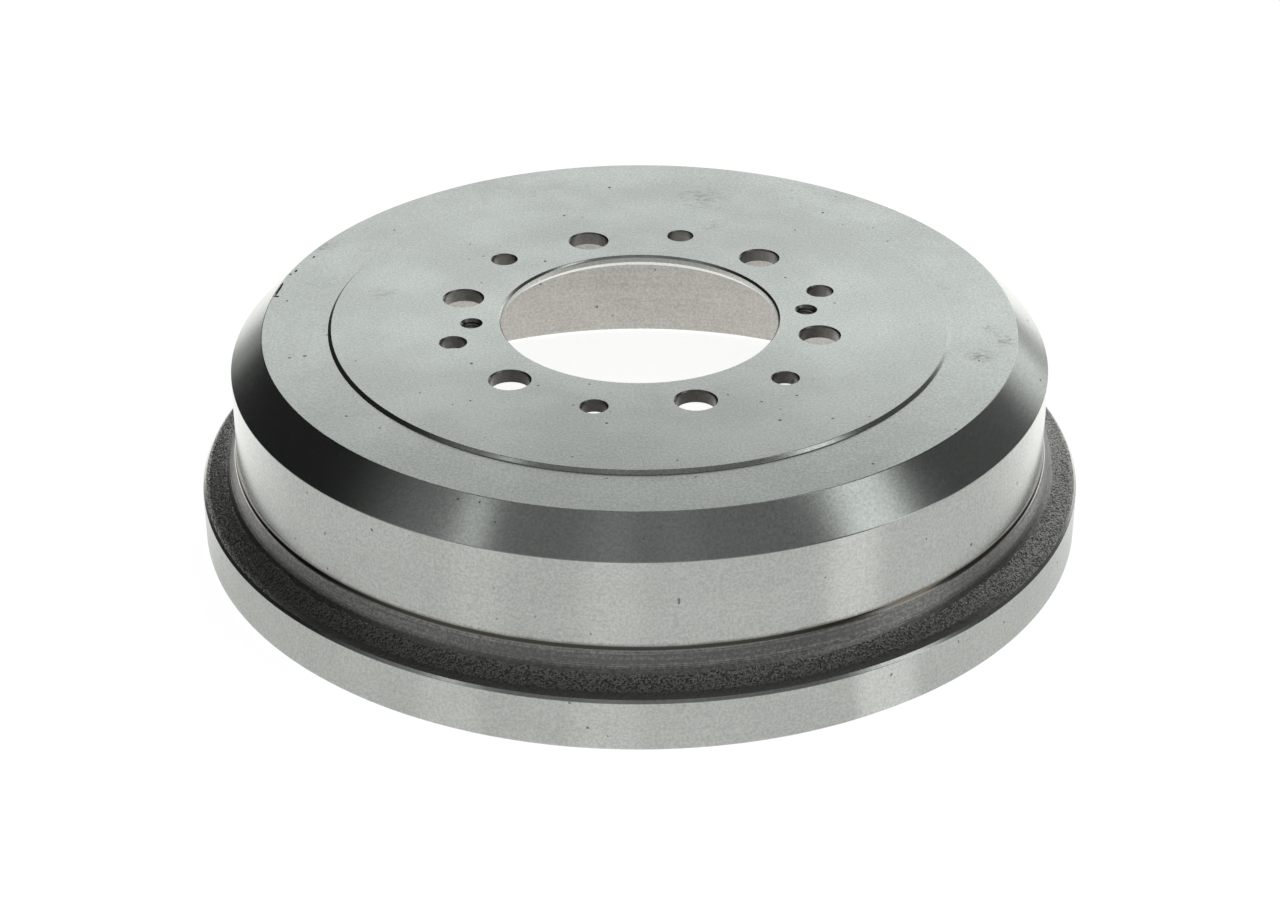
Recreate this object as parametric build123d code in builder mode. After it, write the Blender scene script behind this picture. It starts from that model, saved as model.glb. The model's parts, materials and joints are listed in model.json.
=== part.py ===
from build123d import *
import os

# Rear brake drum: one grey-iron casting, turned where it brakes, seats, locates or runs
# close to its neighbours, and left as cast on the flange's shelf and inside the web.
# Millimetres. +Z runs along the axis towards the wheel side. The origin is the centre of
# the open end's face, so the drum stands on its rim. The section is drawn as (radius, height).

# Braking ring
brake_diameter = 295.0
wall_thickness = 8.6
brake_end_depth = 22.5        # from the wheel seat down to the end of the braking surface
relief_depth = 1.0            # run-out groove behind the braking surface
mouth_chamfer = 0.8

# Web: wheel seat, outer face, hub seat and the cast skin between them
total_height = 82.0
web_thickness = 5.0           # between the wheel seat and the hub seat
cast_web_thickness = 6.3      # between the outer face and the cast skin inside
pad_height = 1.2              # wheel seat above the outer face
pad_bevel_width = 1.1
land_width = 26.25            # outer face, from the wheel seat's edge to the shoulder
hub_seat_diameter = 184.0
inner_corner_chamfer = 10.0   # keeps the wall's thickness behind the shoulder

# Shoulder between the outer face and the turned wall
shoulder_width = 12.35
shoulder_drop = 12.8

# Flange, from the rim up to the foot of the turned wall
rim_overhang = 13.9           # rim beyond the turned wall
rim_height = 19.7
rim_chamfer = 1.0
brow_width = 0.8              # rolled-over edge of the cast shelf above the rim
brow_height = 1.5
brow_bevel = 0.7
shelf_height = 2.0            # rise of the cast shelf, from its brow to the cove
cove_width = 2.1              # cast, between the shelf and the turned flare
cove_height = 2.3
flare_width = 3.3
flare_height = 5.7
ledge_width = 0.8             # step left by the tool at the foot of the turned wall
ledge_height = 1.4

# Groove in the open face, which takes the edge of the backing plate
groove_lip = 6.0
groove_width = 6.0
groove_depth = 9.0

# Centre bore
bore_diameter = 106.0
bore_chamfer = 1.0
bore_lead_in = 2.2

# Wheel stud holes
stud_circle_diameter = 139.7
stud_hole_diameter = 15.0
stud_count = 6
stud_start_angle = 47.0
stud_hole_chamfer = 0.4

# Plain holes between the studs
plain_circle_diameter = 146.6
plain_hole_diameter = 10.0
plain_hole_chamfer = 0.35

# Tapped jacking holes, drilled to the thread's core
jack_circle_diameter = 128.4
jack_core_diameter = 6.8
jack_sink_diameter = 8.6
jack_sink_angle = 90.0
jack_count = 2
jack_start_angle = 5.0

# Radii and heights that follow
brake_radius = brake_diameter / 2
relief_radius = brake_radius + relief_depth
wall_radius = brake_radius + wall_thickness
face_radius = wall_radius - shoulder_width
pad_radius = face_radius - land_width
bore_radius = bore_diameter / 2
hub_seat_radius = hub_seat_diameter / 2
rim_radius = wall_radius + rim_overhang
rim_shoulder_radius = rim_radius - rim_chamfer
brow_radius = rim_shoulder_radius - brow_width
ledge_radius = wall_radius + ledge_width
flare_radius = ledge_radius + flare_width
cove_radius = flare_radius + cove_width
groove_outer_radius = rim_radius - groove_lip
groove_inner_radius = groove_outer_radius - groove_width

rim_top = rim_height + rim_chamfer
brow_top = rim_top + brow_height
shelf_top = brow_top + shelf_height
flare_bottom = shelf_top + cove_height
flare_top = flare_bottom + flare_height
wall_foot = flare_top + ledge_height
face_height = total_height - pad_height
shoulder_height = face_height - shoulder_drop
hub_seat_height = total_height - web_thickness
cast_web_height = face_height - cast_web_thickness
brake_end_height = total_height - brake_end_depth


def hole_mouths(part, hole_diameter):
    """The edges of all holes of this diameter in the part's top face."""
    top_circles = part.edges().filter_by(GeomType.CIRCLE).group_by(Axis.Z)[-1]
    return top_circles.group_by(lambda edge: abs(edge.radius - hole_diameter / 2))[0]


with BuildPart() as brake_drum:
    with BuildSketch(Plane.XZ) as section:
        with BuildLine():
            wheel_side = Polyline(
                (bore_radius, total_height),
                (pad_radius, total_height),
                (pad_radius + pad_bevel_width, face_height),
                (face_radius, face_height),
                (wall_radius, shoulder_height),
                (wall_radius, wall_foot),
                (ledge_radius, flare_top),
                (flare_radius, flare_bottom),
            )
            rim = Polyline(
                wheel_side @ 1,
                (cove_radius, shelf_top),
                (brow_radius, brow_top),
                (rim_shoulder_radius, rim_top),
                (rim_radius, rim_height),
                (rim_radius, 0),
            )
            mouth = Polyline(
                rim @ 1,
                (groove_outer_radius, 0),
                (groove_outer_radius, groove_depth),
                (groove_inner_radius, groove_depth),
                (groove_inner_radius, 0),
                (brake_radius, 0),
            )
            inside = Polyline(
                mouth @ 1,
                (brake_radius, brake_end_height - relief_depth),
                (relief_radius, brake_end_height),
                (relief_radius, cast_web_height),
                (hub_seat_radius, cast_web_height),
                (hub_seat_radius, hub_seat_height),
                (bore_radius, hub_seat_height),
                (bore_radius, total_height),
            )
        make_face()

        def corner(radius, height):
            """The outline's corner nearest to this radius and height."""
            return section.vertices().sort_by_distance((radius, height))[0]

        chamfer(corner(brow_radius, brow_top), brow_bevel)
        chamfer(corner(rim_radius, 0), rim_chamfer)
        chamfer(corner(brake_radius, 0), mouth_chamfer)
        chamfer(corner(relief_radius, cast_web_height), inner_corner_chamfer)
        chamfer(corner(bore_radius, total_height), bore_chamfer)
        chamfer(corner(bore_radius, hub_seat_height), bore_lead_in)
    revolve(axis=Axis.Z)

    with Locations((0, 0, total_height)):
        with PolarLocations(stud_circle_diameter / 2, stud_count, start_angle=stud_start_angle):
            Hole(stud_hole_diameter / 2, depth=web_thickness)
        plain_start_angle = stud_start_angle + 180 / stud_count
        with PolarLocations(plain_circle_diameter / 2, stud_count, start_angle=plain_start_angle):
            Hole(plain_hole_diameter / 2, depth=web_thickness)
        with PolarLocations(jack_circle_diameter / 2, jack_count, start_angle=jack_start_angle):
            CounterSinkHole(
                jack_core_diameter / 2,
                jack_sink_diameter / 2,
                depth=web_thickness,
                counter_sink_angle=jack_sink_angle,
            )
    chamfer(hole_mouths(brake_drum, stud_hole_diameter), stud_hole_chamfer)
    chamfer(hole_mouths(brake_drum, plain_hole_diameter), plain_hole_chamfer)

brake_drum.part.label = "brake_drum"

os.makedirs("parts", exist_ok=True)
export_step(brake_drum.part, "parts/brake_drum.step")
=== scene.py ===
"""A brake drum turned from grey iron, standing on its open rim in a pale studio."""

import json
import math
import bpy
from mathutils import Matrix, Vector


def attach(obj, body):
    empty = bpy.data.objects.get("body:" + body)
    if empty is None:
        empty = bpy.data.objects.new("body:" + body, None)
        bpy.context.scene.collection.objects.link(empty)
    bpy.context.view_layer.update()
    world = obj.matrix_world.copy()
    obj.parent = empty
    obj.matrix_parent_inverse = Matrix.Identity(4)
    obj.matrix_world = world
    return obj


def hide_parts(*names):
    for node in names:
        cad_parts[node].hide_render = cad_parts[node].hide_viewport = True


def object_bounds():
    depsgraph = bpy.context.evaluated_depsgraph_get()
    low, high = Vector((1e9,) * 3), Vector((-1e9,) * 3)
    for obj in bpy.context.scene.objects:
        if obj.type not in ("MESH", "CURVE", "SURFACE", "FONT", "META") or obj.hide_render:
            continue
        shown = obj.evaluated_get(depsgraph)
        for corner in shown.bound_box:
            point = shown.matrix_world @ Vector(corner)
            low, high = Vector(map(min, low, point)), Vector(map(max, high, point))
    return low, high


bl_info = {
    "name": "Brake drum",
    "version": (1, 0, 0),
    "blender": (4, 5, 0),
    "location": "View3D > Sidebar > Brake drum",
    "description": "Turns, drills and finishes a cast-iron brake drum and sets it in a studio",
    "category": "Object",
}

from collections import namedtuple

import bmesh
import bpy
from mathutils import Euler, Matrix, Vector, noise

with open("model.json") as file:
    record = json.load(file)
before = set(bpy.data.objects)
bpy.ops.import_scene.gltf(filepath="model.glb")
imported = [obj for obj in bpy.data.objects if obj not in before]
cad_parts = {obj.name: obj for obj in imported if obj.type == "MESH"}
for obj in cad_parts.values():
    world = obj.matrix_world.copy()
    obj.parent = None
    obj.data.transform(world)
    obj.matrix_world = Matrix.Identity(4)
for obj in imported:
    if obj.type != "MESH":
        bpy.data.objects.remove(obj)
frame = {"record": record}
CAD_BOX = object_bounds()
MOUNTS = {mount["name"]: mount for mount in frame["record"]["mounts"]}

MM = 0.001
SAME = 1e-6     # two points this close, in metres, are one
NODE = "brake_drum"
PIECE = "turned_drum"

# Material slots of the drum's piece, in order; the last is the corner at the wall's foot, with
# painted shade
TURNED, COARSE, CAST, BRAKING, DRILLED, SHADED_CORNER = range(6)

# Chips in the outer face's edge: azimuth in degrees, distance inside the edge in mm, and
# reach outwards, around and upwards in mm
FACE_CHIPS = ((169.6, 0.85, (0.5, 6.0, 0.8)), (172.0, 1.3, (1.3, 0.6, 0.7)),
              (162.7, 1.7, (0.5, 1.1, 0.6)), (157.1, 2.9, (0.4, 0.9, 0.4)))

# The nick in the wall: azimuth in degrees, height in mm, and reach in mm
WALL_NICK = (274.9, 52.4, (0.4, 0.4, 1.2))

# Greasy smudges on the wheel side: radius in mm, azimuth in degrees, reach in mm, and how dark
SMUDGES = ((111, 77, 16, 0.35), (86, 71, 9, 0.25), (131, 346.5, 8, 0.6), (138.5, 352.5, 7, 0.55),
           (133.5, 356, 6, 0.4), (121, 13, 4, 0.4), (142.5, 153, 8, 0.45), (101, 168.5, 8, 0.25))

Corner = namedtuple("Corner", "radius height rounding segments finish", defaults=(0, 3, TURNED))


def amount(name, description, default, **kind):
    """A number, plain or of a kind that Blender shows in its own way."""
    return bpy.props.FloatProperty(name=name, description=description, default=default, **kind)


def length(name, description, metres):
    """A size given in metres."""
    return amount(name, description, metres, precision=5, subtype="DISTANCE", unit="LENGTH")


def mm(name, description, millimetres):
    """A size given in millimetres, kept in metres."""
    return length(name, description, millimetres * MM)


def share(name, description, default):
    """A number from 0 to 1."""
    return amount(name, description, default, min=0, max=1, subtype="FACTOR")


def angle(name, description, degrees):
    """An angle, given in degrees."""
    return amount(name, description, math.radians(degrees), subtype="ANGLE", unit="ROTATION")


def colour(name, description, default):
    """A linear colour."""
    return bpy.props.FloatVectorProperty(name=name, description=description, default=default,
                                         size=3, min=0, max=1, subtype="COLOR")


def mount_radius(name):
    """The radius of a round mount of the frame, in metres."""
    return MOUNTS[name]["dims"]["r_mm"] * MM


class DrumSection(bpy.types.PropertyGroup):
    """Sizes of the drum's section."""

    rim_radius: length("Rim radius", "Outside of the flange", CAD_BOX[1].x)
    total_height: length("Height", "Open end's face to wheel seat", CAD_BOX[1].z)
    brake_radius: length("Braking radius", "The shoes' surface", mount_radius("braking_surface"))
    bore_radius: length("Bore radius", "Centring bore", mount_radius("centre_bore"))
    web_thickness: length("Web", "Wheel seat to hub seat",
                          CAD_BOX[1].z - MOUNTS["hub_seat"]["pos_m"][2])

    wall_thickness: mm("Wall", "Braking ring's thickness", 8.6)
    pad_radius: mm("Seat radius", "Edge of the raised wheel seat", 117.5)
    pad_height: mm("Seat height", "Wheel seat above the outer face", 1.2)
    pad_bevel: mm("Seat bevel", "Width of the bevel round the wheel seat", 1.1)
    shoulder_width: mm("Shoulder width", "Cone between outer face and wall", 12.35)
    shoulder_drop: mm("Shoulder drop", "Height of that cone", 12.8)

    foot_height: mm("Wall foot", "Height at which the turned wall bends outwards", 34.0)
    foot_fillet: mm("Foot fillet", "Length of wall that this bend takes", 0.6)
    # Painted shade darkens the wall this far above its foot
    foot_shade: mm("Foot stain", "How far the stain creeps up the wall", 1.4)
    bead_radius: mm("Bead", "Small bead between the wall's foot and the flare", 157.2)
    bead_height: mm("Bead height", "Top of that bead", 32.6)
    bead_rounding: mm("Bead rounding", "How far the bead is rounded to each side", 0.65)
    flare_bend_radius: mm("Flare bend", "Radius at which the steep flare bends outwards", 158.5)
    flare_bend_height: mm("Flare bend height", "Height of that bend", 28.4)
    flare_end_radius: mm("Flare end", "Where the tool leaves the cast skin", 160.1)
    flare_end_height: mm("Flare end height", "Where the tool leaves the cast skin", 26.1)
    flare_pitch: mm("Flare feed", "Spacing of the tool's grooves in the flare", 0.8)
    flare_depth: mm("Flare groove", "Depth of those grooves", 0.09)

    cove_radius: mm("Cove", "Radius that the cast cove bends towards", 162.1)
    cove_height: mm("Cove height", "Height that the cast cove bends towards", 24.1)
    brow_radius: mm("Brow", "Radius at which the cast shelf rolls over", 167.3)
    brow_height: mm("Brow height", "Height of the shelf there", 22.45)
    rim_height: mm("Rim height", "Turned outside of the rim", 19.7)
    rim_chamfer: mm("Rim chamfer", "Chamfers of the rim", 1.0)

    groove_lip: mm("Lip", "Rim outside the groove of the open face", 6.0)
    groove_width: mm("Groove", "Width of that groove", 6.0)
    groove_depth: mm("Groove depth", "Depth of that groove", 9.0)
    mouth_chamfer: mm("Mouth", "Chamfer of the braking surface's mouth", 0.8)
    brake_end: mm("Braking end", "Wheel seat to the end of the braking surface", 22.5)
    relief: mm("Relief", "Run-out behind the braking surface", 1.0)
    inner_corner: mm("Inner corner", "Chamfer between ring and web inside", 10.0)
    cast_web: mm("Cast web", "Outer face to the cast skin inside", 6.3)
    hub_seat_radius: mm("Hub seat", "Turned seat inside the web", 92.0)
    bore_chamfer: mm("Bore chamfer", "Outer chamfer of the bore", 0.75)
    bore_lead_in: mm("Lead-in", "Inner chamfer of the bore", 2.2)

    edge: mm("Edge break", "Rounding of a turned edge", 0.15)
    steps: bpy.props.IntProperty(name="Steps", description="Flats in one turn of the drum",
                                 default=360, min=36)


class DrumHoles(bpy.types.PropertyGroup):
    """Sizes of the holes in the web."""

    count: bpy.props.IntProperty(name="Studs", description="Stud holes in the circle",
                                 default=MOUNTS["wheel_studs"]["dims"]["count"], min=3)
    start: angle("First stud", "Direction of the first stud hole", 47.0)
    stud_circle: length("Stud circle", "Radius of the stud holes' circle",
                        MOUNTS["wheel_studs"]["dims"]["pcd_mm"] / 2 * MM)
    stud_radius: length("Stud hole", "Radius of a stud hole",
                        MOUNTS["wheel_studs"]["dims"]["hole_r_mm"] * MM)
    stud_chamfer: mm("Stud chamfer", "Chamfer of a stud hole", 0.55)
    plain_circle: length("Plain circle", "Radius of the plain holes' circle",
                         MOUNTS["plain_holes"]["dims"]["pcd_mm"] / 2 * MM)
    plain_radius: length("Plain hole", "Radius of a plain hole",
                         MOUNTS["plain_holes"]["dims"]["hole_r_mm"] * MM)
    plain_chamfer: mm("Plain chamfer", "Chamfer of a plain hole", 0.35)
    thread_core: length("Thread core", "Core radius of a jacking hole", mount_radius("jack_hole_a"))
    thread_major: mm("Thread size", "Outer radius of the jacking thread", 4.0)
    thread_pitch: mm("Thread pitch", "Rise of the jacking thread in one turn", 1.25)
    thread_sink: mm("Countersink", "Radius of a jacking hole's countersink", 4.3)


class DrumFinish(bpy.types.PropertyGroup):
    """Colours and textures of the iron."""

    turned_colour: colour("Turned iron", "Clean cut iron", (0.66, 0.685, 0.66))
    braking_colour: colour("Braking surface", "Ground iron", (0.50, 0.49, 0.465))
    coarse_colour: colour("Coarse-turned iron", "Where the tool ran fast", (0.43, 0.425, 0.415))
    cast_colour: colour("Cast skin", "Iron as it left the mould", (0.375, 0.365, 0.345))
    drilled_colour: colour("Drilled iron", "Walls of the holes", (0.29, 0.285, 0.275))
    # Painted shade: the dark colour of the corner at the wall's foot
    corner_shade_colour: colour("Stain", "Dirt in the corner at the wall's foot", (0.175, 0.155, 0.13))
    smudge_colour: colour("Smudges", "Grease on the wheel side", (0.06, 0.06, 0.055))
    pit_colour: colour("Pits", "Graphite and pits in the cut faces", (0.13, 0.13, 0.12))
    grain_size: mm("Iron grain", "Width of the mottling of cut iron", 1.0)
    turned_roughness: share("Turned roughness", "Gloss of the fine-turned faces", 0.22)
    grain_directed: share("Tool direction", "How far the tool marks draw out a highlight", 0.60)
    cast_depth: mm("Cast grain", "Height of the cast skin's grain", 0.13)
    cast_grain: mm("Grain size", "Width of the cast skin's grain", 0.85)
    edge_wander: mm("Edge wander", "How far the cast edge strays from its circle", 0.9)


class DrumStage(bpy.types.PropertyGroup):
    """Camera, lights and surroundings."""

    distance: length("Camera distance", "From the camera to the point it looks at", 1.1492)
    elevation: angle("Camera elevation", "Height of the camera above the horizon", 29.755)
    roll: angle("Camera roll", "Turn of the camera about its line of sight", -0.093)
    aim_across: mm("Aim across", "X of the point looked at", 0.12)
    aim_height: mm("Aim height", "Height of the point looked at", 20.05)
    focal_length: amount("Lens", "Focal length in millimetres, on a 36 mm wide sensor", 82.31)
    floor_size: length("Floor", "Side of the floor", 8.0)
    floor_glow: amount("Floor glow", "Light of the floor as the camera sees it", 0.86)
    floor_reflected: amount("Floor reflected", "Light of the floor as the iron sees it", 0.54)
    floor_far: amount("Far floor", "Further light of the floor behind the drum", 0.58)
    streak: amount("Floor streak", "Light of the streak that the wall mirrors at the right", 0.25)
    faint_streak: amount("Faint streaks", "Light of the two streaks to its left", 0.09)
    inner_shade: share("Inner shade", "How far the floor inside the drum lies in shade", 0.06)
    floor_colour: colour("Floor colour", "Paint of the floor", (0.80, 0.80, 0.80))
    floor_tint: colour("Floor tint", "Tint of the floor as the iron sees it", (1.0, 0.99, 0.965))
    room_tint: colour("Room tint", "Tint of the studio as the iron sees it", (0.97, 1.0, 0.99))
    backdrop: amount("Backdrop", "Light of the backdrop behind the drum", 1.08)
    ceiling: amount("Ceiling", "Light from overhead", 0.18)
    front_fill: amount("Front fill", "Low light from the camera's side", 0.27)
    left_lamp: amount("Left lamp", "Light of the narrow lamp high to the left of the camera", 0.08)
    right_lamp: amount("Right lamp", "Light of the narrow lamp high to its right", 0.05)
    side_wall: amount("Side wall", "Light from the right", 0.07)
    room: amount("Room", "Light from everywhere else", 0.017)
    soft_box: amount("Soft boxes", "Light of the two tall soft boxes", 1.11)


def toward(azimuth):
    """The level direction at an azimuth in radians."""
    return Vector((math.cos(azimuth), math.sin(azimuth), 0))


def enter(mode):
    """Goes into edit mode or back to object mode."""
    bpy.ops.object.mode_set(mode=mode)


def deselect():
    """Leaves nothing selected, so that an operator acts on what it makes."""
    if bpy.context.mode != "OBJECT":
        enter("OBJECT")
    bpy.ops.object.select_all(action="DESELECT")


def choose(piece):
    """Selects one piece alone and makes it active."""
    deselect()
    piece.select_set(True)
    bpy.context.view_layer.objects.active = piece


def select_where(piece, kind, test):
    """In edit mode, selects the vertices, edges or faces that pass a test."""
    bpy.ops.mesh.select_mode(type={"verts": "VERT", "edges": "EDGE", "faces": "FACE"}[kind])
    bpy.ops.mesh.select_all(action="DESELECT")
    mesh = bmesh.from_edit_mesh(piece.data)
    for part in getattr(mesh, kind):
        if test(part):
            part.select_set(True)
    mesh.select_flush_mode()
    bmesh.update_edit_mesh(piece.data)


def apply_modifier(piece, name, kind, **settings):
    """Adds a modifier with its settings and applies it."""
    modifier = piece.modifiers.new(name, kind)
    for key, value in settings.items():
        setattr(modifier, key, value)
    choose(piece)
    bpy.ops.object.modifier_apply(modifier=name)


def curved_run(start, middle, end, spacing, finish, groove=0.0):
    """Corners at even steps on the curve from a start to an end that a middle point pulls out.

    Every other corner is sunk by the depth of a tool's groove.
    """
    a, b, c = Vector(start), Vector(middle), Vector(end)
    count = 2 * max(1, round(((b - a).length + (c - b).length) / spacing / 2))
    corners = []
    for n in range(1, count + 1):
        t = n / count
        point = a * (1 - t) ** 2 + b * (2 * t * (1 - t)) + c * t ** 2
        heading = (b - a) * (1 - t) + (c - b) * t
        if n % 2:
            point += Vector((heading.y, -heading.x)).normalized() * groove
        corners.append(Corner(point.x, point.y, finish=finish))
    return corners


def section_corners(size):
    """The drum's outline from the bore over the wheel side, round the rim and back inside.

    Each corner's finish is that of the face that leads to it.
    """
    edge = size.edge
    wall = size.brake_radius + size.wall_thickness
    face = size.total_height - size.pad_height
    shoulder = wall - size.shoulder_width
    rim_edge = size.rim_radius - size.rim_chamfer
    groove_outer = size.rim_radius - size.groove_lip
    groove_inner = groove_outer - size.groove_width
    cast_web = face - size.cast_web
    hub_seat = size.total_height - size.web_thickness
    brake_end = size.total_height - size.brake_end
    relief = size.brake_radius + size.relief
    bead_foot = (size.bead_radius + 0.1 * MM, size.bead_height - size.bead_rounding - 0.05 * MM)
    bend = (size.flare_bend_radius, size.flare_bend_height)
    flare_end = (size.flare_end_radius, size.flare_end_height)
    cove = (size.cove_radius, size.cove_height)
    brow = (size.brow_radius, size.brow_height)
    rim_shoulder = (rim_edge, size.rim_height + size.rim_chamfer)
    grain = bpy.context.scene.drum_finish.cast_grain * 0.7

    wheel_side = [
        Corner(size.bore_radius, size.total_height - size.bore_chamfer, edge),
        Corner(size.bore_radius + size.bore_chamfer, size.total_height, edge),
        Corner(size.pad_radius, size.total_height, edge),
        Corner(size.pad_radius + size.pad_bevel, face, edge),
        Corner(shoulder, face, edge * 1.5),
        Corner(wall, face - size.shoulder_drop, edge * 2),
    ]
    foot = [
        Corner(wall, size.foot_height + size.foot_shade),
        # The fillet and bead at the wall's foot take the material with painted shade
        Corner(wall, size.foot_height, size.foot_fillet, 6, SHADED_CORNER),
        Corner(size.bead_radius, size.bead_height, size.bead_rounding, 4, SHADED_CORNER),
        Corner(*bead_foot, finish=COARSE),
    ]
    steep = Vector(bead_foot).lerp(bend, 0.5)
    sweep = (bend[0] + 0.35 * MM, bend[1] - 1.3 * MM)
    rolled = Vector(brow).lerp(rim_shoulder, 0.5) + Vector((0.15 * MM, 0.12 * MM))
    flange = [
        *curved_run(bead_foot, steep, bend, size.flare_pitch / 2, COARSE, size.flare_depth),
        *curved_run(bend, sweep, flare_end, size.flare_pitch / 2, COARSE, size.flare_depth),
        *curved_run(flare_end, cove, brow, grain, CAST),
        *curved_run(brow, rolled, rim_shoulder, grain / 2, CAST),
    ]
    rim = [
        Corner(size.rim_radius, size.rim_height, edge),
        Corner(size.rim_radius, size.rim_chamfer, edge),
        Corner(rim_edge, 0, edge),
    ]
    mouth = [
        Corner(groove_outer, 0, 0.3 * MM),
        Corner(groove_outer, size.groove_depth, 1.2 * MM, 4),
        Corner(groove_inner, size.groove_depth, 1.2 * MM, 4),
        Corner(groove_inner, 0, 0.3 * MM),
        Corner(size.brake_radius + size.mouth_chamfer, 0, edge),
        Corner(size.brake_radius, size.mouth_chamfer, edge),
    ]
    inside = [
        Corner(size.brake_radius, brake_end - size.relief, edge, finish=BRAKING),
        Corner(relief, brake_end, 0.4 * MM),
        Corner(relief, cast_web - size.inner_corner, 4 * MM, 5, CAST),
        Corner(relief - size.inner_corner, cast_web, 4 * MM, 5, CAST),
        Corner(size.hub_seat_radius, cast_web, 0.5 * MM, 3, CAST),
        Corner(size.hub_seat_radius, hub_seat, 0.8 * MM, 4),
        Corner(size.bore_radius + size.bore_lead_in, hub_seat, edge),
        Corner(size.bore_radius, hub_seat + size.bore_lead_in, edge),
    ]
    return wheel_side + foot + flange + rim + mouth + inside


def draw_outline(corners):
    """Extrudes one vertex round the outline, closes it and rounds its corners."""
    deselect()
    first = corners[0]
    bpy.ops.mesh.primitive_plane_add(size=MM, location=(0, 0, 0))
    piece = bpy.context.object
    enter("EDIT")
    bpy.ops.mesh.select_mode(type="VERT")
    bpy.ops.mesh.merge(type="CENTER")
    bpy.ops.transform.translate(value=(first.radius, 0, first.height))
    for start, end in zip(corners, corners[1:]):
        step = (end.radius - start.radius, 0, end.height - start.height)
        bpy.ops.mesh.extrude_region_move(TRANSFORM_OT_translate={"value": step})
    last = corners[-1]
    ends = (Vector((first.radius, 0, first.height)), Vector((last.radius, 0, last.height)))
    select_where(piece, "verts", lambda vert: any((vert.co - end).length < SAME for end in ends))
    bpy.ops.mesh.edge_face_add()
    for corner in corners:
        if corner.rounding:
            place = Vector((corner.radius, 0, corner.height))
            select_where(piece, "verts", lambda vert: (vert.co - place).length < SAME)
            bpy.ops.mesh.bevel(affect="VERTICES", offset=corner.rounding, segments=corner.segments)
    return piece


def spin_section(piece, steps):
    """Turns the outline once round the axis and closes it on itself."""
    bpy.ops.mesh.select_all(action="SELECT")
    bpy.ops.mesh.spin(steps=steps, angle=math.tau, center=(0, 0, 0), axis=(0, 0, 1))
    bpy.ops.mesh.select_all(action="SELECT")
    bpy.ops.mesh.remove_doubles(threshold=SAME)
    bpy.ops.mesh.normals_make_consistent(inside=False)
    enter("OBJECT")


def finish_of(place, corners):
    """The finish of the outline's run nearest to a place given as (radius, height)."""
    best, finish = None, TURNED
    for start, end in zip([corners[-1], *corners], corners):
        a, b = Vector((start.radius, start.height)), Vector((end.radius, end.height))
        along = b - a
        t = min(1, max(0, (place - a).dot(along) / along.length_squared))
        gap = (a + along * t - place).length
        if best is None or gap < best - 1e-9:
            best, finish = gap, end.finish
    return finish


def mark_finishes(piece, corners):
    """Gives each face the material slot of its run of the outline."""
    known = {}
    for face in piece.data.polygons:
        centre = face.center
        place = Vector((math.hypot(centre.x, centre.y), centre.z))
        key = (round(place.x, 5), round(place.y, 5))
        if key not in known:
            known[key] = finish_of(place, corners)
        face.material_index = known[key]


class DRUM_OT_body(bpy.types.Operator):
    """Turn the drum: draw its section, spin it and give its faces their finishes"""

    bl_idname = "drum.body"
    bl_label = "Turn the drum"

    def execute(self, context):
        size = context.scene.drum_section
        corners = section_corners(size)
        piece = draw_outline(corners)
        spin_section(piece, size.steps)
        piece.name = piece.data.name = PIECE
        # The last material darkens the corner at the wall's foot with painted shade
        for name in ("Fine-turned iron", "Coarse-turned iron", "Cast iron skin",
                     "Ground braking surface", "Drilled iron", "Stained corner"):
            piece.data.materials.append(bpy.data.materials.new(name))
        mark_finishes(piece, corners)
        return {"FINISHED"}


def straight_cutter(direction, circle, radius, chamfer, size):
    """A cutter for one hole: a cylinder that opens into the chamfer at the wheel seat."""
    low = size.total_height - size.web_thickness - 2 * MM
    high = size.total_height - chamfer
    place = toward(direction) * circle
    bpy.ops.mesh.primitive_cylinder_add(vertices=64, radius=radius, depth=high - low,
                                        location=(place.x, place.y, (low + high) / 2))
    cutter = bpy.context.object
    enter("EDIT")
    select_where(cutter, "faces", lambda face: face.normal.z > 0.9)
    overshoot = 1 * MM
    grown = (radius + chamfer) / radius
    top = (place.x, place.y, size.total_height)
    bpy.ops.mesh.extrude_region_move(TRANSFORM_OT_translate={"value": (0, 0, chamfer)})
    bpy.ops.transform.resize(value=(grown, grown, 1), center_override=top)
    bpy.ops.mesh.extrude_region_move(TRANSFORM_OT_translate={"value": (0, 0, overshoot)})
    enter("OBJECT")
    return cutter


def thread_cutter(direction, circle, holes, size):
    """A cutter for one thread: a ridge that climbs round the drilled core."""
    place = toward(direction) * circle
    pitch, inner = holes.thread_pitch, holes.thread_core - 0.3 * MM
    crest = pitch / 16
    root = crest + (holes.thread_major - inner) * math.tan(math.radians(30))
    low = size.total_height - size.web_thickness - 1.5 * pitch
    turns = math.ceil((size.total_height - low) / pitch) + 1
    corners = [Corner(inner, low - root), Corner(holes.thread_major, low - crest),
               Corner(holes.thread_major, low + crest), Corner(inner, low + root)]
    ridge = draw_outline(corners)
    enter("OBJECT")
    apply_modifier(ridge, "Climb", "SCREW", angle=turns * math.tau, screw_offset=turns * pitch,
                   steps=turns * 48, render_steps=turns * 48, use_merge_vertices=False)
    enter("EDIT")
    bpy.ops.mesh.select_mode(type="EDGE")
    bpy.ops.mesh.select_all(action="DESELECT")
    bpy.ops.mesh.select_non_manifold()
    bpy.ops.mesh.fill_holes(sides=0)
    bpy.ops.mesh.select_all(action="SELECT")
    bpy.ops.mesh.normals_make_consistent(inside=False)
    bpy.ops.transform.translate(value=place)
    enter("OBJECT")
    return ridge


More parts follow.
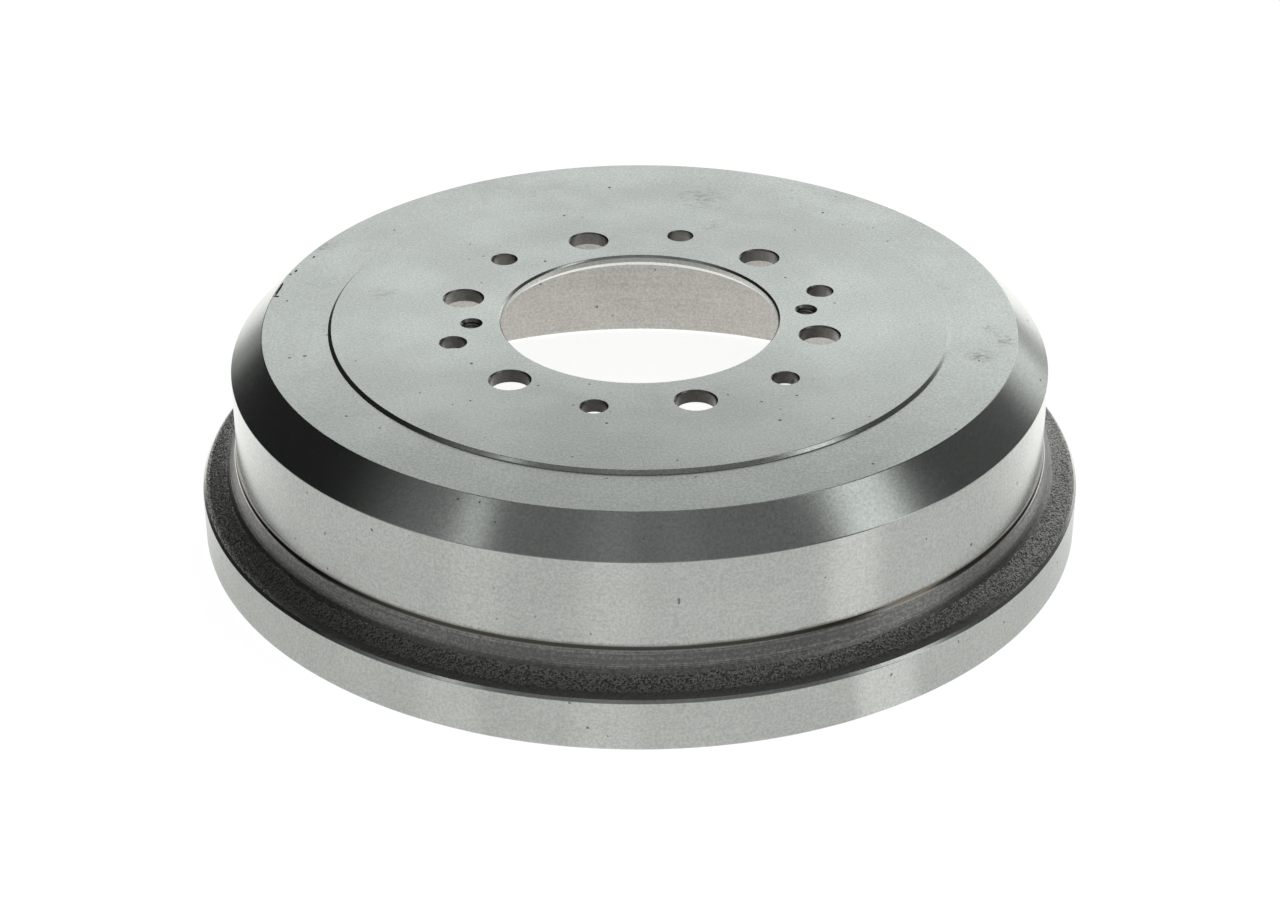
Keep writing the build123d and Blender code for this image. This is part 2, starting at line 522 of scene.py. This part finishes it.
def cut(piece, cutters, name, finish):
    """Cuts the cutters out of the piece, gives the cut faces a finish, and deletes the cutters."""
    deselect()
    for cutter in cutters:
        cutter.data.materials.clear()
        for material in piece.data.materials:
            cutter.data.materials.append(material)
        for face in cutter.data.polygons:
            face.material_index = finish
        cutter.select_set(True)
    bpy.context.view_layer.objects.active = cutters[0]
    if len(cutters) > 1:
        bpy.ops.object.join()
    tool = bpy.context.object
    apply_modifier(piece, name, "BOOLEAN", operation="DIFFERENCE", solver="EXACT", object=tool,
                   material_mode="INDEX")
    bpy.data.objects.remove(tool)


class DRUM_OT_holes(bpy.types.Operator):
    """Drill the stud holes and plain holes, and tap the jacking holes"""

    bl_idname = "drum.holes"
    bl_label = "Drill and tap the holes"

    def execute(self, context):
        size, holes = context.scene.drum_section, context.scene.drum_holes
        piece = bpy.data.objects[PIECE]
        step = math.tau / holes.count
        cutters = []
        for n in range(holes.count):
            deselect()
            cutters.append(straight_cutter(holes.start + n * step, holes.stud_circle,
                                           holes.stud_radius, holes.stud_chamfer, size))
            deselect()
            cutters.append(straight_cutter(holes.start + (n + 0.5) * step, holes.plain_circle,
                                           holes.plain_radius, holes.plain_chamfer, size))
        threads = []
        for name in ("jack_hole_a", "jack_hole_b"):
            x, y, _ = MOUNTS[name]["pos_m"]
            direction, circle = math.atan2(y, x), math.hypot(x, y)
            deselect()
            cutters.append(straight_cutter(direction, circle, holes.thread_core,
                                           holes.thread_sink - holes.thread_core, size))
            threads.append(thread_cutter(direction, circle, holes, size))
        cut(piece, cutters, "Holes", DRILLED)
        cut(piece, threads, "Threads", DRILLED)
        return {"FINISHED"}


def chip_cutter(azimuth, radius, height, reach, texture):
    """A ragged pebble for one chip, with its reach outwards, around and upwards."""
    deselect()
    bpy.ops.mesh.primitive_ico_sphere_add(subdivisions=3, radius=MM, location=(0, 0, 0))
    cutter = bpy.context.object
    apply_modifier(cutter, "Ragged", "DISPLACE", texture=texture, strength=0.9 * MM, mid_level=0.5,
                   texture_coords="LOCAL")
    turned = Matrix.Rotation(math.radians(azimuth), 4, "Z")
    cutter.data.transform(Matrix.Translation((0, 0, height)) @ turned
                          @ Matrix.Translation((radius, 0, 0)) @ Matrix.Diagonal((*reach, 1)))
    return cutter


class DRUM_OT_wear(bpy.types.Operator):
    """Knock the chips out of the face's edge and nick the wall"""

    bl_idname = "drum.wear"
    bl_label = "Chip the edges"

    def execute(self, context):
        size = context.scene.drum_section
        face = size.total_height - size.pad_height
        wall = size.brake_radius + size.wall_thickness
        edge = wall - size.shoulder_width
        ragged = bpy.data.textures.new("Ragged", "CLOUDS")
        ragged.noise_scale = 0.7 * MM
        chips = [chip_cutter(azimuth, edge - inset * MM, face, reach, ragged)
                 for azimuth, inset, reach in FACE_CHIPS]
        azimuth, height, reach = WALL_NICK
        chips.append(chip_cutter(azimuth, wall, height * MM, reach, ragged))
        for chip in chips:
            cut(bpy.data.objects[PIECE], [chip], "Chip", CAST)
        return {"FINISHED"}


def in_cast_band(place, size):
    """Whether a place lies on the flange's cast skin, between the flare and the rim."""
    radius = math.hypot(place.x, place.y)
    spare = 0.2 * MM
    low, high = size.rim_height + size.rim_chamfer, size.flare_end_height
    inner, outer = size.flare_end_radius, size.rim_radius - size.rim_chamfer
    return inner - spare < radius < outer + spare and low - spare < place.z < high + spare


def past_edge(place, size, finish):
    """How far a place lies beyond the wandering edge between the turned flare and the cast skin."""
    around = Vector((place.x, place.y, 0)).normalized()
    stray = 0.5 + 0.7 * noise.noise(around * 6) + 0.4 * noise.noise(around * 31)
    edge = size.flare_end_radius + finish.edge_wander * min(1, max(0, stray))
    return math.hypot(place.x, place.y) - edge


class DRUM_OT_skin(bpy.types.Operator):
    """Roughen the cast shelf of the flange and let its edges wander"""

    bl_idname = "drum.skin"
    bl_label = "Roughen the cast skin"

    def execute(self, context):
        size, finish = context.scene.drum_section, context.scene.drum_finish
        piece = bpy.data.objects[PIECE]
        choose(piece)
        enter("EDIT")

        def along_band(edge):
            a, b = edge.verts[0].co, edge.verts[1].co
            return (in_cast_band(a, size) and in_cast_band(b, size)
                    and abs(math.hypot(a.x, a.y) - math.hypot(b.x, b.y)) < SAME
                    and abs(a.z - b.z) < SAME)

        select_where(piece, "edges", along_band)
        bpy.ops.mesh.subdivide(number_cuts=2)
        enter("OBJECT")

        for face in piece.data.polygons:
            if face.material_index == CAST and in_cast_band(face.center, size):
                if past_edge(face.center, size, finish) < 0:
                    face.material_index = COARSE
        skin = piece.vertex_groups.new(name="cast_skin")
        rim_edge = size.rim_radius - size.rim_chamfer
        for vertex in piece.data.vertices:
            if in_cast_band(vertex.co, size):
                gap = min(past_edge(vertex.co, size, finish),
                          rim_edge - math.hypot(vertex.co.x, vertex.co.y) + 0.3 * MM)
                skin.add([vertex.index], min(1.0, max(0.0, gap / finish.cast_grain)), "REPLACE")
        grain = bpy.data.textures.new("Mould grain", "CLOUDS")
        grain.noise_scale = finish.cast_grain
        grain.noise_depth = 2
        apply_modifier(piece, "Grain", "DISPLACE", texture=grain, vertex_group="cast_skin",
                       strength=finish.cast_depth * 2, mid_level=0.5, texture_coords="LOCAL")
        return {"FINISHED"}


class Nodes:
    """Places nodes in a tree and links them, left to right."""

    def __init__(self, tree):
        self.tree = tree
        self.column = 0

    def add(self, kind, inputs=None, **settings):
        """Adds a node, sets it, and fills its sockets with numbers or with other nodes' outputs."""
        node = self.tree.nodes.new(kind)
        node.location = (self.column * 190, -(self.column % 4) * 120)
        self.column += 1
        for key, value in settings.items():
            setattr(node, key, value)
        for key, value in (inputs or {}).items():
            if isinstance(value, bpy.types.NodeSocket):
                self.tree.links.new(value, node.inputs[key])
            else:
                node.inputs[key].default_value = value
        return node

    def math(self, operation, a, b=0.0, c=0.0, clamp=False):
        """One Math node's result."""
        return self.add("ShaderNodeMath", {0: a, 1: b, 2: c}, operation=operation,
                        use_clamp=clamp).outputs[0]

    def times(self, a, b):
        """The product of two values."""
        return self.math("MULTIPLY", a, b)

    def span(self, value, low, high, to_low=0.0, to_high=1.0):
        """Maps a value's span onto another one, with soft ends."""
        ends = {"Value": value, "From Min": low, "From Max": high,
                "To Min": to_low, "To Max": to_high}
        node = self.add("ShaderNodeMapRange", ends, interpolation_type="SMOOTHSTEP")
        return node.outputs["Result"]

    def place(self):
        """Where a point lies on its object."""
        return self.add("ShaderNodeTexCoord").outputs["Object"]

    def parts(self, vector):
        """A vector's X, Y and Z."""
        return self.add("ShaderNodeSeparateXYZ", {"Vector": vector}).outputs

    def joined(self, x, y, z=0.0):
        """The vector with these parts."""
        return self.add("ShaderNodeCombineXYZ", {"X": x, "Y": y, "Z": z}).outputs["Vector"]

    def vector(self, operation, a, b=(0, 0, 0)):
        """One Vector Math node's outputs."""
        return self.add("ShaderNodeVectorMath", {0: a, 1: b}, operation=operation).outputs

    def noise(self, vector, scale, detail, roughness=0.5):
        """One Noise Texture's value."""
        return self.add("ShaderNodeTexNoise", {"Vector": vector, "Scale": scale, "Detail": detail,
                                               "Roughness": roughness}).outputs["Fac"]

    def mix(self, factor, a, b):
        """A colour between two colours."""
        node = self.add("ShaderNodeMix", data_type="RGBA", clamp_factor=True)
        for socket, value in ((node.inputs[0], factor), (node.inputs[6], a), (node.inputs[7], b)):
            if isinstance(value, bpy.types.NodeSocket):
                self.tree.links.new(value, socket)
            else:
                socket.default_value = value
        return node.outputs[2]

    def link(self, output, node, key):
        """Links an output to a node's input."""
        self.tree.links.new(output, node.inputs[key])


def new_group(name, inputs, outputs):
    """A new node group with number sockets: its nodes, and what it is given."""
    group = bpy.data.node_groups.new(name, "ShaderNodeTree")
    number = "NodeSocketFloat"
    for label, default in inputs.items():
        socket = group.interface.new_socket(name=label, in_out="INPUT", socket_type=number)
        socket.default_value = default
    for label in outputs:
        group.interface.new_socket(name=label, in_out="OUTPUT", socket_type=number)
    nodes = Nodes(group)
    return nodes, nodes.add("NodeGroupInput").outputs


def close_group(nodes, **values):
    """Links a group's results to its outputs."""
    outside = nodes.add("NodeGroupOutput")
    for label, value in values.items():
        nodes.link(value, outside, label.replace("_", " "))


def lathe_marks_group():
    """Rings left by a turning tool: their height, and a value that drifts from ring to ring."""
    nodes, given = new_group("Lathe marks", {"Pitch": 0.3 * MM}, ("Height", "Ring"))
    parts = nodes.parts(nodes.place())
    flat = nodes.joined(parts["X"], parts["Y"])
    radius = nodes.vector("LENGTH", flat)["Value"]
    turns = nodes.math("DIVIDE", nodes.math("SUBTRACT", radius, parts["Z"]), given["Pitch"])
    around = nodes.parts(nodes.vector("NORMALIZE", flat)["Vector"])

    def along_tool(stretch):
        return nodes.joined(around["X"], around["Y"], nodes.times(turns, stretch))

    close_group(nodes, Height=nodes.noise(along_tool(1.0), 1.0, 3.0, 0.6),
                Ring=nodes.noise(along_tool(0.2), 1.3, 3.0, 0.6))


def iron_grain_group():
    """The look of cut grey iron: fine mottling, small dark pits, and slow clouds."""
    nodes, given = new_group("Iron grain", {"Size": 0.6 * MM, "Pits": 0.5},
                             ("Mottle", "Pit", "Cloud"))
    place = nodes.place()
    scale = nodes.math("DIVIDE", 1.0, given["Size"])
    mottle = nodes.noise(place, scale, 4.0, 0.75)
    sparse = nodes.times(scale, 0.16)
    spots = nodes.add("ShaderNodeTexVoronoi", {"Vector": place, "Scale": sparse, "Randomness": 1.0})
    chance = nodes.add("ShaderNodeSeparateColor", {"Color": spots.outputs["Color"]}).outputs["Red"]
    ragged = nodes.math("MULTIPLY_ADD", mottle, 0.16, spots.outputs["Distance"])
    reach = nodes.times(nodes.math("SUBTRACT", given["Pits"], chance), 0.25)
    inside = nodes.math("SUBTRACT", nodes.math("ADD", reach, 0.135), ragged)
    pit = nodes.math("MULTIPLY", inside, 30.0, clamp=True)
    close_group(nodes, Mottle=mottle, Pit=pit, Cloud=nodes.noise(place, 24.0, 5.0, 0.6))


def mould_grain_group():
    """The sandy grain of a casting: its height and its hollows."""
    nodes, given = new_group("Mould grain", {"Size": 1.0 * MM}, ("Height", "Hollow"))
    place = nodes.place()
    scale = nodes.math("DIVIDE", 1.0, given["Size"])
    coarse = nodes.noise(place, scale, 2.0, 0.5)
    fine = nodes.noise(place, nodes.times(scale, 2.6), 2.0, 0.6)
    height = nodes.math("MULTIPLY_ADD", fine, 0.45, coarse)
    close_group(nodes, Height=height, Hollow=nodes.span(height, 0.80, 0.60))


def place_group(nodes, name, **inputs):
    """A node group's outputs, with its own values in this material."""
    node = nodes.add("ShaderNodeGroup", node_tree=bpy.data.node_groups[name])
    for label, value in inputs.items():
        node.inputs[label].default_value = value
    return node.outputs


def open_material(name):
    """The named material with an empty tree, its nodes and its Principled BSDF."""
    material = bpy.data.materials[name]
    material.use_nodes = True
    material.node_tree.nodes.clear()
    nodes = Nodes(material.node_tree)
    shader = nodes.add("ShaderNodeBsdfPrincipled")
    output = nodes.add("ShaderNodeOutputMaterial")
    nodes.link(shader.outputs["BSDF"], output, "Surface")
    return nodes, shader


def emboss(nodes, shader, height):
    """Lets a height in metres tilt the shader's normals."""
    bump = nodes.add("ShaderNodeBump", {"Height": height, "Distance": 1.0, "Strength": 1.0})
    nodes.link(bump.outputs["Normal"], shader, "Normal")


def scaled(colour, factor=1.0):
    """A colour made lighter or darker, with its alpha."""
    return (*(channel * factor for channel in colour), 1)


def paint_foot_shade(nodes, base, finish, size):
    """The turned iron's colour with painted shade, darkening towards the corner at the wall's foot.
    """
    place = nodes.place()
    parts = nodes.parts(place)
    across, height = parts["X"], parts["Z"]
    ragged = nodes.math("MULTIPLY_ADD", nodes.noise(place, 60.0, 3.0), 1.2 * MM, height)
    # Painted shade: darker towards the wall's foot, down to the top of the bead
    below = nodes.span(ragged, size.foot_height + size.foot_shade + 0.6 * MM,
                       size.foot_height + 0.3 * MM)
    above = nodes.span(height, size.bead_height + 0.2 * MM, size.bead_height + 0.6 * MM)
    # At the right of the front the painted shade reaches down over the bead too, dimming its
    # reflection of the soft box there
    bead_shade = nodes.times(nodes.span(across, 70 * MM, 95 * MM, 0.0, 0.8),
                         nodes.span(across, 140 * MM, 125 * MM))
    above = nodes.math("MAXIMUM", above, bead_shade)
    return nodes.mix(nodes.times(below, above), base, scaled(finish.corner_shade_colour))


def smudge(nodes, base, finish, top):
    """The turned iron's colour, darkened by the greasy smudges on the wheel side."""
    place = nodes.place()
    drawn_out = nodes.vector("MULTIPLY", place, (1.0, 2.2, 1.0))["Vector"]
    ragged = nodes.span(nodes.noise(drawn_out, 260.0, 4.0, 0.7), 0.44, 0.60)
    total = 0.0
    for radius, azimuth, reach, depth in SMUDGES:
        middle = toward(math.radians(azimuth)) * radius * MM + Vector((0, 0, top))
        apart = nodes.vector("DISTANCE", place, middle)["Value"]
        total = nodes.math("MAXIMUM", total, nodes.span(apart, reach * MM, 0.0, 0.0, depth))
    return nodes.mix(nodes.times(total, ragged), base, scaled(finish.smudge_colour))


def paint_turned(name, base, finish, roughness, directed, *, pitch, ring_depth, ring_contrast,
                 mottle, pits, shaded_foot=None, handled=None):
    """A turned face: rings, mottled iron, pits, and highlights drawn out across the tool marks.

    Given the section's sizes it gets painted shade at the wall's foot too, and given a height it is
    smudged there.
    """
    nodes, shader = open_material(name)
    marks = place_group(nodes, "Lathe marks", Pitch=pitch)
    grain = place_group(nodes, "Iron grain", Size=finish.grain_size, Pits=pits)
    shade = nodes.math("ADD", nodes.span(marks["Ring"], 0.35, 0.65, 0.0, ring_contrast),
                       nodes.math("ADD", nodes.span(grain["Mottle"], 0.62, 0.38, 0.0, mottle),
                                  nodes.span(grain["Cloud"], 0.62, 0.40, 0.0, 0.06)))
    cut_iron = nodes.mix(shade, scaled(base), scaled(base, 0.5))
    if shaded_foot:
        cut_iron = paint_foot_shade(nodes, cut_iron, finish, shaded_foot)
    if handled:
        cut_iron = smudge(nodes, cut_iron, finish, handled)
    pitted = nodes.mix(nodes.times(grain["Pit"], 0.65), cut_iron, scaled(finish.pit_colour))
    nodes.link(pitted, shader, "Base Color")
    rough = nodes.span(grain["Cloud"], 0.3, 0.7, roughness + 0.02, roughness - 0.02)
    nodes.link(nodes.math("MULTIPLY_ADD", grain["Pit"], 0.2, rough), shader, "Roughness")
    shader.inputs["Metallic"].default_value = 1.0
    shader.inputs["Anisotropic"].default_value = directed
    shader.inputs["Anisotropic Rotation"].default_value = 0.25
    nodes.link(nodes.add("ShaderNodeTangent", direction_type="RADIAL", axis="Z").outputs["Tangent"],
               shader, "Tangent")
    height = nodes.math("MULTIPLY_ADD", marks["Height"], ring_depth,
                        nodes.math("MULTIPLY_ADD", grain["Mottle"], ring_depth,
                                   nodes.times(grain["Pit"], -0.02 * MM)))
    emboss(nodes, shader, height)


def paint_cast(name, finish, size):
    """The cast skin: dark and sandy, gleaming on its high spots, with painted shade on the brow at
    the front.
    """
    nodes, shader = open_material(name)
    grain = place_group(nodes, "Mould grain", Size=finish.cast_grain)
    parts = nodes.parts(nodes.place())
    radius = nodes.vector("LENGTH", nodes.joined(parts["X"], parts["Y"]))["Value"]
    brow = nodes.span(radius, size.brow_radius - 0.9 * MM, size.brow_radius + 0.3 * MM)
    # Painted shade: the brow darkens on the front side only
    front_brow_shade = nodes.times(brow, nodes.span(parts["Y"], -90 * MM, -125 * MM, 0.0, 0.9))
    # Darker in the grain's hollows and in the painted shade of the front brow
    hollows_and_shade = nodes.math("MAXIMUM", grain["Hollow"], front_brow_shade)
    nodes.link(nodes.mix(hollows_and_shade, scaled(finish.cast_colour), scaled(finish.cast_colour, 0.3)),
               shader, "Base Color")
    nodes.link(nodes.span(hollows_and_shade, 0.0, 1.0, 0.24, 0.50), shader, "Roughness")
    shader.inputs["Metallic"].default_value = 0.95
    height = nodes.times(grain["Height"], finish.cast_depth * 2.9)
    emboss(nodes, shader, height)


class DRUM_OT_finish(bpy.types.Operator):
    """Give every face its finish, and let the piece stand for the solid drum"""

    bl_idname = "drum.finish"
    bl_label = "Finish the iron"

    def execute(self, context):
        size, finish = context.scene.drum_section, context.scene.drum_finish
        lathe_marks_group()
        iron_grain_group()
        mould_grain_group()
        gloss, directed = finish.turned_roughness, finish.grain_directed
        paint_turned("Fine-turned iron", finish.turned_colour, finish, gloss, directed,
                     pitch=0.4 * MM, ring_depth=0.0004 * MM, ring_contrast=0.04,
                     mottle=0.40, pits=0.30, handled=size.total_height)
        paint_turned("Coarse-turned iron", finish.coarse_colour, finish, gloss + 0.15, 0.5,
                     pitch=0.5 * MM, ring_depth=0.018 * MM, ring_contrast=0.60,
                     mottle=1.0, pits=0.3)
        paint_turned("Ground braking surface", finish.braking_colour, finish, gloss + 0.15, 0.3,
                     pitch=0.4 * MM, ring_depth=0.002 * MM, ring_contrast=0.10,
                     mottle=0.45, pits=0.35)
        paint_turned("Drilled iron", finish.drilled_colour, finish, gloss + 0.1, 0.0,
                     pitch=0.3 * MM, ring_depth=0.003 * MM, ring_contrast=0.20,
                     mottle=0.4, pits=0.4)
        # Painted shade in the corner at the wall's foot
        paint_turned("Stained corner", finish.turned_colour, finish, gloss - 0.04, 0.2,
                     pitch=0.4 * MM, ring_depth=0.001 * MM, ring_contrast=0.15,
                     mottle=0.6, pits=0.3, shaded_foot=size)
        paint_cast("Cast iron skin", finish, size)
        piece = bpy.data.objects[PIECE]
        choose(piece)
        bpy.ops.object.shade_smooth_by_angle(angle=math.radians(32))
        apply_modifier(piece, "Flat faces", "WEIGHTED_NORMAL", mode="FACE_AREA", weight=50,
                       keep_sharp=True)
        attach(piece, "root")
        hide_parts(NODE)
        return {"FINISHED"}


def streak_on_floor(nodes, place, azimuth):
    """Where the floor shines towards one upright strip of the drum's wall."""
    rim = bpy.context.scene.drum_section.rim_radius
    normal = math.radians(azimuth)
    ahead = 2 * normal - math.radians(270)
    apex = toward(normal) * rim - toward(ahead) * rim * math.cos(ahead - normal) / 2
    away = nodes.vector("NORMALIZE", nodes.vector("SUBTRACT", place, apex)["Vector"])["Vector"]
    along = nodes.vector("DOT_PRODUCT", away, toward(ahead))["Value"]
    return nodes.span(along, math.cos(math.radians(11)), math.cos(math.radians(3)))


def build_floor(stage):
    """A pale floor that glows for the camera and the iron, and keeps the drum's shadow."""
    deselect()
    bpy.ops.mesh.primitive_plane_add(size=stage.floor_size, location=(0, 0, 0))
    floor = bpy.context.object
    floor.name = floor.data.name = "floor"
    material = bpy.data.materials.new("Studio floor")
    floor.data.materials.append(material)
    material.use_nodes = True
    material.node_tree.nodes.clear()
    nodes = Nodes(material.node_tree)
    path = nodes.add("ShaderNodeLightPath")
    paint = nodes.add("ShaderNodeBsdfDiffuse", {"Color": (*stage.floor_colour, 1)})
    seen = nodes.times(path.outputs["Is Camera Ray"], stage.floor_glow)
    mirrored = nodes.math("MAXIMUM", path.outputs["Is Glossy Ray"],
                          path.outputs["Is Transmission Ray"])
    place = nodes.place()
    parts = nodes.parts(place)
    # Brighter behind the drum, darker far to both sides, with three streaks that the wall mirrors
    sheen = nodes.span(parts["Y"], -70 * MM, 80 * MM, stage.floor_reflected,
                       stage.floor_reflected + stage.floor_far)
    aside = nodes.math("ABSOLUTE", parts["X"])
    sheen = nodes.times(sheen, nodes.span(aside, 240 * MM, 480 * MM, 1.0, 0.12))
    for azimuth, radiance in ((301, stage.streak), (266, stage.faint_streak),
                              (246.5, stage.faint_streak)):
        sheen = nodes.math("MULTIPLY_ADD", streak_on_floor(nodes, place, azimuth), radiance, sheen)
    reach = nodes.vector("LENGTH", place)["Value"]
    brake_radius = bpy.context.scene.drum_section.brake_radius
    shade = nodes.times(nodes.span(reach, brake_radius, brake_radius - 10 * MM),
                       nodes.span(parts["Y"], 70 * MM, 20 * MM, 0.0, stage.inner_shade))
    sheen = nodes.times(sheen, nodes.math("SUBTRACT", 1.0, shade))
    strength = nodes.math("MULTIPLY_ADD", mirrored, sheen, seen)
    tint = nodes.mix(path.outputs["Is Camera Ray"], (*stage.floor_tint, 1), (1, 1, 1, 1))
    glow = nodes.add("ShaderNodeEmission", {"Color": tint, "Strength": strength})
    lit = nodes.add("ShaderNodeAddShader", {0: paint.outputs[0], 1: glow.outputs[0]})
    clear = nodes.add("ShaderNodeBsdfTransparent")
    below = nodes.add("ShaderNodeNewGeometry").outputs["Backfacing"]
    one_sided = nodes.add("ShaderNodeMixShader", {0: below, 1: lit.outputs[0], 2: clear.outputs[0]})
    output = nodes.add("ShaderNodeOutputMaterial")
    nodes.link(one_sided.outputs[0], output, "Surface")


class Surroundings:
    """Masks over the directions that the world is seen in."""

    def __init__(self, nodes):
        self.nodes = nodes
        parts = nodes.parts(nodes.add("ShaderNodeTexCoord").outputs["Generated"])
        self.up = parts["Z"]
        level = nodes.joined(parts["X"], parts["Y"])
        self.level = nodes.vector("NORMALIZE", level)["Vector"]

    def beside(self, azimuth, half, soft):
        """1 within half an angle of an azimuth, falling to 0 over the soft edge; in degrees."""
        along = self.nodes.vector("DOT_PRODUCT", self.level, toward(math.radians(azimuth)))["Value"]
        return self.nodes.span(along, math.cos(math.radians(half + soft)),
                               math.cos(math.radians(half - soft)))

    def above(self, elevation, soft):
        """1 above an elevation and 0 below it; in degrees."""
        return self.nodes.span(self.up, math.sin(math.radians(elevation - soft)),
                               math.sin(math.radians(elevation + soft)))

    def below(self, elevation, soft):
        """1 below an elevation and 0 above it; in degrees."""
        return self.nodes.math("SUBTRACT", 1.0, self.above(elevation, soft))


def build_surroundings(stage):
    """White to the camera; to the iron, a dim room with a backdrop, lamps and soft boxes."""
    world = bpy.data.worlds.new("Studio")
    bpy.context.scene.world = world
    world.use_nodes = True
    world.node_tree.nodes.clear()
    nodes = Nodes(world.node_tree)
    around = Surroundings(nodes)
    parts = (
        (stage.backdrop, around.beside(75, 29, 11), around.below(31.5, 4.5)),
        (stage.front_fill, around.beside(255, 60, 20), around.below(48, 6)),
        (stage.left_lamp, around.beside(259.5, 7, 4), around.above(45, 5)),
        (stage.right_lamp, around.beside(284, 5, 4), around.above(45, 5)),
        (stage.ceiling, around.above(54, 8.5), None),
        (stage.side_wall, around.beside(20, 30, 20), around.below(40, 20)),
        (stage.soft_box, around.beside(345, 8.8, 2.5), around.below(66, 3)),
        (stage.soft_box, around.beside(214.4, 3.4, 2.5),
         nodes.times(around.above(40, 3), around.below(50.7, 3))),
    )
    room = stage.room
    for radiance, mask, second in parts:
        if second:
            mask = nodes.times(mask, second)
        room = nodes.math("MULTIPLY_ADD", mask, radiance, room)
    path = nodes.add("ShaderNodeLightPath")
    backdrop = nodes.add("ShaderNodeBackground", {"Color": (1, 1, 1, 1), "Strength": 1.0})
    studio = nodes.add("ShaderNodeBackground", {"Color": (*stage.room_tint, 1), "Strength": room})
    both = nodes.add("ShaderNodeMixShader", {0: path.outputs["Is Camera Ray"],
                                             1: studio.outputs[0], 2: backdrop.outputs[0]})
    output = nodes.add("ShaderNodeOutputWorld")
    nodes.link(both.outputs[0], output, "Surface")


def add_camera(stage):
    """The camera at the photograph's viewing angle."""
    data = bpy.data.cameras.new("camera")
    data.lens, data.sensor_width = stage.focal_length, 36.0
    camera = bpy.data.objects.new("camera", data)
    bpy.context.scene.collection.objects.link(camera)
    back = Vector((0, -math.cos(stage.elevation), math.sin(stage.elevation)))
    camera.location = Vector((stage.aim_across, 0, stage.aim_height)) + back * stage.distance
    camera.rotation_euler = (back.to_track_quat("Z", "Y").to_matrix()
                             @ Euler((0, 0, stage.roll)).to_matrix()).to_euler()
    bpy.context.scene.camera = camera


class DRUM_OT_stage(bpy.types.Operator):
    """Set the floor, the surroundings, the soft boxes and the camera"""

    bl_idname = "drum.stage"
    bl_label = "Set the studio"

    def execute(self, context):
        stage = context.scene.drum_stage
        build_floor(stage)
        build_surroundings(stage)
        add_camera(stage)
        context.scene.view_settings.view_transform = "Standard"
        return {"FINISHED"}


class DRUM_PT_tools(bpy.types.Panel):
    """Lists the steps and their settings in the sidebar"""

    bl_idname = "DRUM_PT_tools"
    bl_label = "Brake drum"
    bl_space_type = "VIEW_3D"
    bl_region_type = "UI"
    bl_category = "Brake drum"

    def draw(self, context):
        scene = context.scene
        for settings, steps in ((scene.drum_section, (DRUM_OT_body,)),
                                (scene.drum_holes, (DRUM_OT_holes,)),
                                (scene.drum_finish, (DRUM_OT_wear, DRUM_OT_skin, DRUM_OT_finish)),
                                (scene.drum_stage, (DRUM_OT_stage,))):
            box = self.layout.box()
            for step in steps:
                box.operator(step.bl_idname)
            for name in settings.__annotations__:
                box.prop(settings, name)


SETTINGS = {"drum_section": DrumSection, "drum_holes": DrumHoles, "drum_finish": DrumFinish,
            "drum_stage": DrumStage}
CLASSES = (*SETTINGS.values(), DRUM_OT_body, DRUM_OT_holes, DRUM_OT_wear, DRUM_OT_skin,
           DRUM_OT_finish, DRUM_OT_stage, DRUM_PT_tools)


def register():
    for cls in CLASSES:
        bpy.utils.register_class(cls)
    for name, cls in SETTINGS.items():
        setattr(bpy.types.Scene, name, bpy.props.PointerProperty(type=cls))


def unregister():
    for name in SETTINGS:
        delattr(bpy.types.Scene, name)
    for cls in reversed(CLASSES):
        bpy.utils.unregister_class(cls)


def main():
    """Builds the drum and its studio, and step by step."""
    register()
    bpy.ops.drum.body()
    bpy.ops.drum.holes()
    bpy.ops.drum.wear()
    bpy.ops.drum.skin()
    bpy.ops.drum.finish()
    bpy.ops.drum.stage()


if __name__ == "__main__":
    main()
